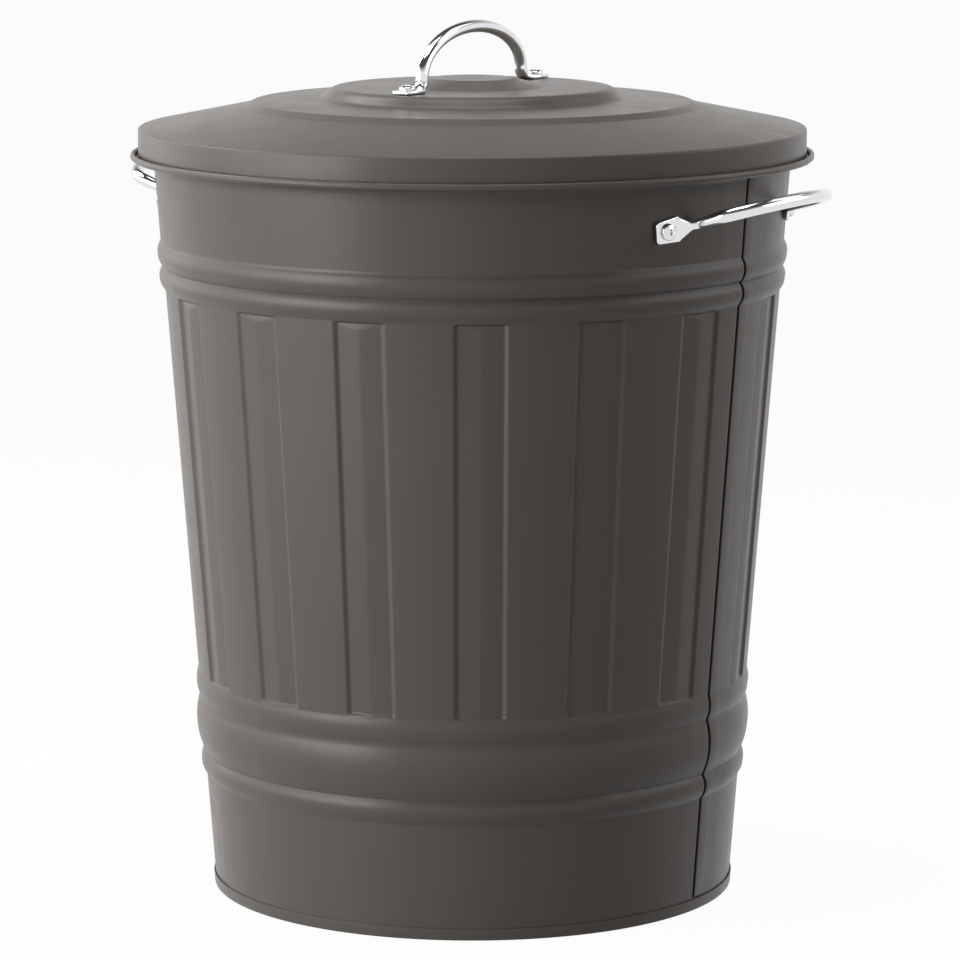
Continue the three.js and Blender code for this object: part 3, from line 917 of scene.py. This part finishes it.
@dataclass
class Handle:
    """A rod bent into half an ellipse on two straight legs, with flattened ends."""

    half_span: float
    leg: float
    crown: float
    leg_start: float
    neck_across: float
    neck_through: float
    bend_at_tab: float
    bend_at_leg: float
    rod_radius: float = 0.0038
    tab_reach: float = 0.0079
    tab_root: float = 0.0078
    tab_end_half: float = 0.00615
    tab_root_half: float = 0.0074
    tab_thickness: float = 0.0022
    tab_corner: float = 0.0021
    tab_corner_steps: tuple[float, ...] = (0.0, 0.04, 0.15, 0.35, 0.62, 1.0)
    tip_thinning: float = 0.35
    tab_squareness: float = 7.0
    neck_squareness: float = 2.4
    rod_squareness: float = 2.0
    neck_at: float = 0.55  # share of the bend after which the rod is narrowest
    neck_growth: float = 0.35  # share of its growth to full width that is reached at the leg's start
    gap: float = 0.0003
    sides: int = 32
    bend_steps: int = 16
    leg_steps: int = 6
    crown_steps: int = 24

    def tab_sections(self, seat: Seat) -> list[Section]:
        """Sections of the flattened end, from its rounded tip to where it bends up."""
        half_through = self.tab_thickness / 2
        middle = self.gap + half_through
        side = seat.outwards.cross(seat.normal).normalized()
        tip = [self.tab_reach - self.tab_corner * step for step in self.tab_corner_steps]
        sections = []
        for reach in [*tip, 0.0, -self.tab_root]:
            share = (self.tab_reach - reach) / (self.tab_reach + self.tab_root)
            half = self.tab_end_half + (self.tab_root_half - self.tab_end_half) * share
            inset = max(0.0, 1.0 - (self.tab_reach - reach) / self.tab_corner)
            half -= self.tab_corner * (1.0 - math.sqrt(1.0 - inset**2))
            thin = half_through * (1.0 - self.tip_thinning * inset**4)
            centre = seat.raised(middle) + seat.outwards * reach
            sections.append(Section(centre, side, seat.normal, half, thin, self.tab_squareness))
        return sections

    def bend_stations(self, root: Vector, inwards: Vector, start: Vector, up: Vector) -> list[Station]:
        """Stations of the bend between the flattened end and the leg, where the rod grows round.

        Args:
            root: The middle of the flattened end where the bend begins.
            inwards: The direction in which the flattened end runs on from there.
            start: Where the leg begins.
            up: The direction in which the leg stands.

        Returns:
            The stations after the root, the last at the leg's start.
        """
        reach = (start - root).length
        control_a = root + inwards * reach * self.bend_at_tab
        control_b = start - up * reach * self.bend_at_leg
        line = interpolate_bezier(root, control_a, control_b, start, self.bend_steps + 1)
        stations = []
        for i, centre in enumerate(line[1:], start=1):
            t = i / self.bend_steps
            narrow = min(1.0, t / self.neck_at)
            grown = max(0.0, (t - self.neck_at) / (1.0 - self.neck_at)) * self.neck_growth
            across = self.tab_root_half + (self.neck_across - self.tab_root_half) * narrow
            across += (self.rod_radius - self.neck_across) * grown
            through = self.tab_thickness / 2 + (self.neck_through - self.tab_thickness / 2) * t
            squareness = self.tab_squareness + (self.neck_squareness - self.tab_squareness) * narrow
            stations.append(Station(centre, across, through, squareness, t))
        return stations

    def rod_stations(self, origin: Vector, up: Vector, along: Vector) -> list[Station]:
        """Stations of a leg, where the neck grows into the rod, and of half the crown."""
        stations = []
        for i in range(1, self.leg_steps + 1):
            t = i / self.leg_steps
            height = self.leg_start + (self.leg - self.leg_start) * t
            centre = origin + along * self.half_span + up * height
            grown = self.neck_growth + (1.0 - self.neck_growth) * t
            across = self.neck_across + (self.rod_radius - self.neck_across) * grown
            through = self.neck_through + (self.rod_radius - self.neck_through) * t
            squareness = self.neck_squareness + (self.rod_squareness - self.neck_squareness) * t
            stations.append(Station(centre, across, through, squareness, 1.0))
        for i in range(1, self.crown_steps + 1):
            turn = math.pi / 2 * i / self.crown_steps
            height = self.leg + self.crown * math.sin(turn)
            centre = origin + along * (self.half_span * math.cos(turn)) + up * height
            stations.append(Station(centre, self.rod_radius, self.rod_radius, self.rod_squareness, 1.0))
        return stations

    def half_sections(self, seat: Seat, origin: Vector, up: Vector, along: Vector) -> list[Section]:
        """Sections of half the handle, from its flattened end to the middle of its crown.

        Args:
            seat: The seat of this end.
            origin: The middle between the legs' feet.
            up: The direction in which the legs stand.
            along: The direction from the middle to this leg.

        Returns:
            The sections in order.
        """
        sections = self.tab_sections(seat)
        tab_side = sections[-1].across
        root = sections[-1].centre
        start = origin + along * self.half_span + up * self.leg_start
        stations = self.bend_stations(root, -seat.outwards, start, up) + self.rod_stations(origin, up, along)
        centres = [root, *(station.centre for station in stations)]
        centres.append(centres[-1] - along * MILLIMETRE)  # so that the crown's middle is level
        side = along.cross(up).normalized()
        for before, station, after in zip(centres, stations, centres[2:]):
            tangent = (after - before).normalized()
            wide = tab_side.lerp(side, station.share)
            wide = (wide - tangent * wide.dot(tangent)).normalized()
            through = tangent.cross(wide).normalized()
            size = (station.half_across, station.half_through, station.squareness)
            sections.append(Section(station.centre, wide, through, *size))
        return sections

    def mesh(self, seats: Sequence[Seat], origin: Vector, up: Vector, along: Vector) -> bmesh.types.BMesh:
        """Lofts the whole handle and drills its two ends.

        Args:
            seats: The two seats, the first on the side that along points to.
            origin: The middle between the legs' feet.
            up: The direction in which the legs stand.
            along: The direction from the middle to the first leg.

        Returns:
            The closed handle.
        """
        first = self.half_sections(seats[0], origin, up, along)
        second = self.half_sections(seats[1], origin, up, -along)
        turned = [replace(section, across=-section.across) for section in reversed(second[:-1])]
        holes = [drill(seat, Fastener.hole_radius, HANDLE_DRILL) for seat in seats]
        return carved(lofted(first + turned, self.sides), holes)


# ---------------------------------------------------------------- fasteners


@dataclass
class Fastener:
    """A pan-head screw with a cross recess, a washer and a nut, stacked through a sheet."""

    label: str
    seat: Seat
    body: Body
    washer_gap: float
    sheet: float = 0.0006
    gap: float = 0.0003
    clamped: float = 0.0022
    shank: float = 0.0025
    length: float = 0.012
    head_radius: float = 0.0049
    head_height: float = 0.0026
    head_side: float = 0.0009
    head_edge: float = 0.0003
    tip_edge: float = 0.0005
    cross_length: float = 0.0052
    cross_width: float = 0.0011
    cross_depth: float = 0.0014
    cross_bottom: float = 0.45
    washer_radius: float = 0.006
    washer_thickness: float = 0.001
    nut_flats: float = 0.008
    nut_height: float = 0.004
    nut_chamfer: float = 0.0004
    hole_radius: float = 0.0028
    sharp_angle: float = math.radians(30.0)
    steps: int = 48

    def screw_mesh(self) -> bmesh.types.BMesh:
        """The screw, with its head's underside at height 0."""
        dome = ellipse_arc(
            (0.0, self.head_side), (self.head_radius, self.head_height - self.head_side), 0.0, 90.0, 10
        )
        outline = [
            (0.0, -self.length),
            (self.shank - self.tip_edge, -self.length),
            (self.shank, -self.length + self.tip_edge),
            (self.shank, 0.0),
            (self.head_radius - self.head_edge, 0.0),
            (self.head_radius, self.head_edge),
            *dome[:-1],
            (0.0, self.head_height),
        ]
        return carved(spun(outline, self.steps), [self.cross_arm(0.0), self.cross_arm(TURN / 4)])

    def cross_arm(self, turn: float) -> bmesh.types.BMesh:
        """One arm of the cross recess, narrower at its bottom."""
        bm = bmesh.new()
        size = Matrix.Diagonal((self.cross_length, self.cross_width, 2.0 * self.cross_depth, 1.0))
        lift = Matrix.Translation((0.0, 0.0, self.head_height))
        bmesh.ops.create_cube(bm, size=1.0, matrix=Matrix.Rotation(turn, 4, "Z") @ lift @ size)
        lower = [vert for vert in bm.verts if vert.co.z < self.head_height]
        bmesh.ops.scale(bm, vec=(self.cross_bottom, self.cross_bottom, 1.0), verts=lower)
        return bm

    def washer_mesh(self) -> bmesh.types.BMesh:
        """The washer, with its upper face at height 0."""
        edge = 0.0001
        low = -self.washer_thickness
        outline = [
            (self.hole_radius, -edge), (self.hole_radius + edge, 0.0),
            (self.washer_radius - edge, 0.0), (self.washer_radius, -edge),
            (self.washer_radius, low + edge), (self.washer_radius - edge, low),
            (self.hole_radius + edge, low), (self.hole_radius, low + edge),
        ]
        return spun(outline, self.steps, closed=True)

    def nut_mesh(self) -> bmesh.types.BMesh:
        """The nut, with its upper face at height 0 and its corners chamfered."""
        corner = self.nut_flats / 2 / math.cos(math.pi / 6)
        bm = bmesh.new()
        bmesh.ops.create_cone(
            bm, cap_ends=True, segments=6, radius1=corner, radius2=corner, depth=self.nut_height,
            matrix=Matrix.Translation((0.0, 0.0, -self.nut_height / 2)),
        )
        rims = [e for e in bm.edges if abs(e.verts[0].co.z - e.verts[1].co.z) < SAME_PLACE]
        bmesh.ops.bevel(
            bm, geom=rims, offset=self.nut_chamfer, offset_type="OFFSET", affect="EDGES",
            segments=2, profile=0.5, material=-1,
        )
        upright = Seat(Vector(), Vector((0.0, 0.0, 1.0)), Vector((1.0, 0.0, 0.0)))
        return carved(bm, [drill(upright, self.hole_radius, HANDLE_DRILL)])

    def build(self, dresser: Dresser) -> None:
        """Stacks the three pieces along the seat's normal."""
        washer_top = -self.sheet - self.washer_gap
        nut_top = washer_top - self.washer_thickness - self.gap
        stack = (
            ("screw", self.screw_mesh(), self.gap + self.clamped + self.gap, Slot.PLATED_SCREW),
            ("washer", self.washer_mesh(), washer_top, Slot.ZINC_HARDWARE),
            ("nut", self.nut_mesh(), nut_top, Slot.ZINC_HARDWARE),
        )
        for name, bm, height, slot in stack:
            lift = Matrix.Translation((0.0, 0.0, height))
            bmesh.ops.transform(bm, matrix=self.seat.matrix @ lift, verts=bm.verts[:])
            dresser.piece(bm, f"{self.label}_{name}", self.body, slot, self.sharp_angle)


# ---------------------------------------------------------------- assemblies


@dataclass
class BinBody:
    """The bin: its wall, its base, and a handle with fasteners on each side."""

    wall: Wall
    handle: Handle
    plane_x: float = 0.1768
    plane_z: float = 0.4111
    tilt: float = math.radians(16.9)
    foot_azimuth: float = math.radians(22.8)
    foot_z: float = 0.4100
    foot_tilt: float = math.radians(7.5)
    washer_gap: float = 0.0005

    def seats(self, facing: float) -> list[Seat]:
        """The two seats of a side handle.

        Args:
            facing: Azimuth of the side that the handle is on.

        Returns:
            The seat on its left as seen from outside, then the other.
        """
        seats = []
        for side in (1.0, -1.0):
            azimuth = facing + side * self.foot_azimuth
            normal = self.wall.normal(azimuth)
            level = Vector((-math.sin(azimuth), math.cos(azimuth), 0.0)) * side
            up = normal.cross(level).normalized() * side
            outwards = level * math.cos(self.foot_tilt) - up * math.sin(self.foot_tilt)
            seats.append(Seat(self.wall.point(azimuth, self.foot_z), normal, outwards.normalized()))
        return seats

    def build(self, dresser: Dresser) -> None:
        """Builds and dresses every piece of the bin."""
        sides = (("right", 0.0, ("rear", "front")), ("left", TURN / 2, ("front", "rear")))
        holes = []
        for side, facing, labels in sides:
            out = Vector((math.cos(facing), 0.0, 0.0))
            seats = self.seats(facing)
            holes += [drill(seat, Fastener.hole_radius, SHEET_DRILL) for seat in seats]
            up = out * math.cos(self.tilt) + Vector((0.0, 0.0, math.sin(self.tilt)))
            origin = out * self.plane_x + Vector((0.0, 0.0, self.plane_z))
            along = Vector((0.0, math.cos(facing), 0.0))
            dresser.piece(
                self.handle.mesh(seats, origin, up, along), f"{side}_handle", Body.BIN, Slot.PLATED_ROD
            )
            for seat, label in zip(seats, labels):
                Fastener(f"{side}_handle_{label}", seat, Body.BIN, self.washer_gap).build(dresser)
        dresser.piece(carved(self.wall.mesh(), holes), "wall", Body.BIN, Slot.PAINTED_SHEET)
        dresser.piece(Base(self.wall).mesh(), "base", Body.BIN, Slot.PAINTED_SHEET)


@dataclass
class LidBody:
    """The lid with its handle and fasteners."""

    lid: Lid
    handle: Handle
    screw_offset: float = 0.0720
    washer_gap: float = 0.0003

    def build(self, dresser: Dresser) -> None:
        """Builds and dresses every piece of the lid."""
        up = Vector((0.0, 0.0, 1.0))
        along = Vector((0.0, 1.0, 0.0))
        seats = [
            Seat(Vector((0.0, side * self.screw_offset, self.lid.plateau_z)), up, along * side)
            for side in (1.0, -1.0)
        ]
        origin = Vector((0.0, 0.0, self.lid.plateau_z))
        dresser.piece(self.handle.mesh(seats, origin, up, along), "lid_handle", Body.LID, Slot.PLATED_ROD)
        for seat, label in zip(seats, ("rear", "front")):
            Fastener(f"lid_handle_{label}", seat, Body.LID, self.washer_gap).build(dresser)
        holes = [drill(seat, Fastener.hole_radius, SHEET_DRILL) for seat in seats]
        dresser.piece(carved(self.lid.mesh(), holes), "lid", Body.LID, Slot.PAINTED_SHEET)


# ---------------------------------------------------------------- studio


@dataclass(frozen=True)
class Softbox:
    """A rectangular lamp that faces the bin."""

    name: str
    azimuth: float
    elevation: float
    distance: float
    size: Point2
    level: float

    def build(self, target: Vector, facing: float) -> None:
        """Hangs the lamp.

        Args:
            target: The point that it faces.
            facing: The camera's azimuth, from which the lamp's is counted.
        """
        azimuth = facing + math.radians(self.azimuth)
        rise = math.radians(self.elevation)
        level = math.cos(rise)
        back = Vector((math.sin(azimuth) * level, -math.cos(azimuth) * level, math.sin(rise)))
        data = bpy.data.lights.new(self.name, "AREA")
        data.shape = "RECTANGLE"
        data.size, data.size_y = self.size
        data.energy = self.level * (math.pi * self.distance) ** 2
        lamp = bpy.data.objects.new(self.name, data)
        lamp.location = target + back * self.distance
        lamp.rotation_mode = "QUATERNION"
        lamp.rotation_quaternion = (-back).to_track_quat("-Z", "Y")
        lamp.visible_camera = False
        bpy.context.scene.collection.objects.link(lamp)


@dataclass
class Studio:
    """A pale floor, soft lamps and a camera at the photograph's angle."""

    facing: float = math.radians(31.5)
    camera_distance: float = 2.83088
    camera_height: float = 0.70659
    camera_aside: float = 0.0045
    camera_pitch: float = math.radians(9.295)
    lens: float = 179.38
    sensor: float = 36.0
    floor_half: float = 8.0
    floor_seen: float = 0.9
    floor_bounce: float = 0.15
    floor_glow: float = 0.96
    background: float = 1.0
    overhead: float = 0.08
    lamps_aim: Point2 = (0.0, 0.27)
    white_up_to: float = math.radians(16.0)
    dim_from: float = math.radians(38.0)
    fill: float = 0.03
    softboxes: tuple[Softbox, ...] = (
        Softbox("left_front_softbox", -52.0, 13.0, 1.8, (0.8, 1.2), 0.58),
        Softbox("left_side_softbox", -75.0, 15.0, 1.8, (0.8, 1.2), 0.31),
        Softbox("left_rear_softbox", -115.0, 15.0, 1.8, (1.4, 1.2), 0.18),
        Softbox("right_softbox", 86.0, 24.0, 1.8, (1.5, 0.9), 0.24),
        Softbox("high_left_softbox", -120.0, 48.0, 1.8, (0.9, 0.7), 0.36),
        Softbox("high_right_softbox", 115.0, 48.0, 1.8, (0.9, 0.7), 0.08),
        Softbox("top_softbox", 0.0, 88.0, 1.6, (1.0, 1.0), 0.42),
    )

    def build(self) -> None:
        """Builds the camera, the lamps, the floor and the world."""
        self.add_camera()
        for softbox in self.softboxes:
            softbox.build(Vector((0.0, *self.lamps_aim)), self.facing)
        self.add_floor()
        self.add_world()
        bpy.context.scene.view_settings.view_transform = "Standard"

    def add_camera(self) -> None:
        """Places the camera and makes it the scene's."""
        back = Vector((math.sin(self.facing), -math.cos(self.facing), 0.0))
        right = Vector((math.cos(self.facing), math.sin(self.facing), 0.0))
        data = bpy.data.cameras.new("camera")
        data.lens = self.lens
        data.sensor_width = self.sensor
        data.clip_start, data.clip_end = 0.05, 50.0
        camera = bpy.data.objects.new("camera", data)
        camera.location = back * self.camera_distance + right * self.camera_aside
        camera.location.z = self.camera_height
        look = -back * math.cos(self.camera_pitch) - Vector((0.0, 0.0, math.sin(self.camera_pitch)))
        camera.rotation_mode = "QUATERNION"
        camera.rotation_quaternion = look.to_track_quat("-Z", "Y")
        bpy.context.scene.collection.objects.link(camera)
        bpy.context.scene.camera = camera

    def add_floor(self) -> None:
        """Lays a pale floor that keeps a soft shadow."""
        bm = bmesh.new()
        bmesh.ops.create_grid(bm, x_segments=1, y_segments=1, size=self.floor_half)
        floor = as_object(bm, "floor")
        graph = Graph(bpy.data.materials.new("pale_floor"))
        graph.nodes.clear()
        seen = graph.seen_directly()
        tones = {"To Min": self.floor_bounce, "To Max": self.floor_seen, "Value": seen}
        matt = graph.add("BsdfDiffuse", "BSDF", {"Color": graph.add("MapRange", "Result", tones)})
        glow = graph.add("Emission", "Emission", {"Color": WHITE, "Strength": self.background})
        share = graph.add("Math", "Value", {0: seen, 1: self.floor_glow}, operation="MULTIPLY")
        graph.end("Material", graph.add("MixShader", "Shader", {"Fac": share, 1: matt, 2: glow}))
        floor.data.materials.append(graph.owner)

    def add_world(self) -> None:
        """Sets a white background that dims overhead, and a soft fill light."""
        graph = Graph(bpy.data.worlds.new("studio_world"))
        graph.nodes.clear()
        direction = graph.nodes.new("ShaderNodeTexCoord").outputs["Generated"]
        height = graph.add("SeparateXYZ", "Z", {"Vector": direction})
        heights = {"From Min": math.sin(self.white_up_to), "From Max": math.sin(self.dim_from)}
        tones = {"To Min": self.background, "To Max": self.overhead}
        strength = graph.add("MapRange", "Result", {**heights, **tones, "Value": height})
        white = graph.add("Background", "Background", {"Color": WHITE, "Strength": strength})
        soft = graph.add("Background", "Background", {"Color": WHITE, "Strength": self.fill})
        seen = graph.seen_directly()
        graph.end("World", graph.add("MixShader", "Shader", {"Fac": seen, 1: soft, 2: white}))
        bpy.context.scene.world = graph.owner


# ---------------------------------------------------------------- the whole


def main() -> None:
    """Builds the studio and every piece."""
    logging.basicConfig(level=logging.INFO, format="%(message)s")
    Studio().build()
    dresser = Dresser(Finishes.make())
    side_handle = Handle(
        half_span=0.0546, leg=0.0207, crown=0.0284, leg_start=0.008,
        neck_across=0.0026, neck_through=0.0028, bend_at_tab=0.15, bend_at_leg=0.1,
    )
    lid_handle = Handle(
        half_span=0.0559, leg=0.0080, crown=0.0274, leg_start=0.0064,
        neck_across=0.00375, neck_through=0.0036, bend_at_tab=0.45, bend_at_leg=0.3,
    )
    BinBody(Wall(), side_handle).build(dresser)
    LidBody(Lid(), lid_handle).build(dresser)


if __name__ == "__main__":
    main()
